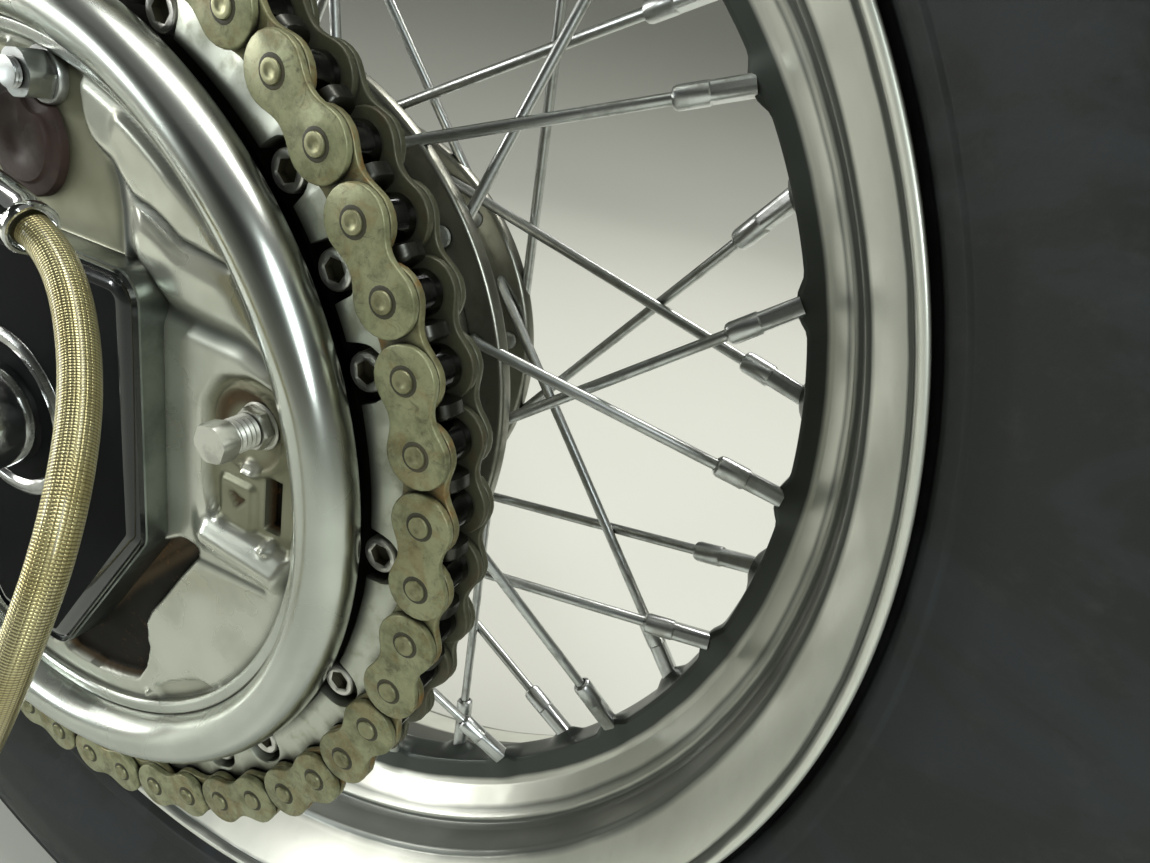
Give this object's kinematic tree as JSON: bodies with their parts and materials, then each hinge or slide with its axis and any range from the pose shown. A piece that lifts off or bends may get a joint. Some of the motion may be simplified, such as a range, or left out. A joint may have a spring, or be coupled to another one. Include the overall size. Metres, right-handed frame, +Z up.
{
  "type": "motorcycle rear wheel",
  "caption": "Wire-spoked rear wheel with wide rim, tyre, sprocket with chain, hub, axle and a polished drum brake plate with its braided hose.",
  "frame": {"origin": "wheel centre: on the axle's axis, in the middle plane of the rim and tyre", "axes": "+Y along the axle towards the motorcycle's right side, away from the sprocket; +X to the motorcycle's rear; +Z up"},
  "size_m": [0.646, 0.2802, 0.645],
  "materials": {
    "tyre": "matt",
    "rim": "polished",
    "spoke": "polished",
    "nipple": "polished",
    "hub": "satin",
    "drum": "satin",
    "sprocket": "satin",
    "chain": "oiled",
    "axle": "satin",
    "brake_plate": "polished",
    "carrier": "gloss",
    "zinc": "satin",
    "cap": "satin",
    "fitting": "polished",
    "hose": "braided"
  },
  "bodies": {
    "axle_group": {"axle": "axle", "right_spacer": "axle", "left_spacer": "axle", "axle_nut": "axle", "brake_plate": "brake_plate", "axle_carrier": "carrier", "anchor_nut": "zinc", "anchor_bolt": "zinc", "stud_nut": "zinc", "inlet_union": "zinc", "inspection_cap": "cap", "banjo": "fitting", "banjo_bolt": "zinc", "upper_ferrule": "fitting", "brake_hose": "hose", "lower_ferrule": "fitting", "hose_block": "fitting"},
    "wheel": {"tyre": "tyre", "rim": "rim", "spokes_left": "spoke", "spokes_right": "spoke", "nipples_left": "nipple", "nipples_right": "nipple", "hub_shell": "hub", "brake_drum": "drum", "sprocket": "sprocket", "drive_chain": "chain", "valve_stem": "nipple"}
  },
  "joints": [
    {"name": "wheel_spin", "type": "hinge", "parent": "axle_group", "child": "wheel", "pos_m": [0, 0, 0], "axis": [0, 1, 0], "continuous": true}
  ]
}
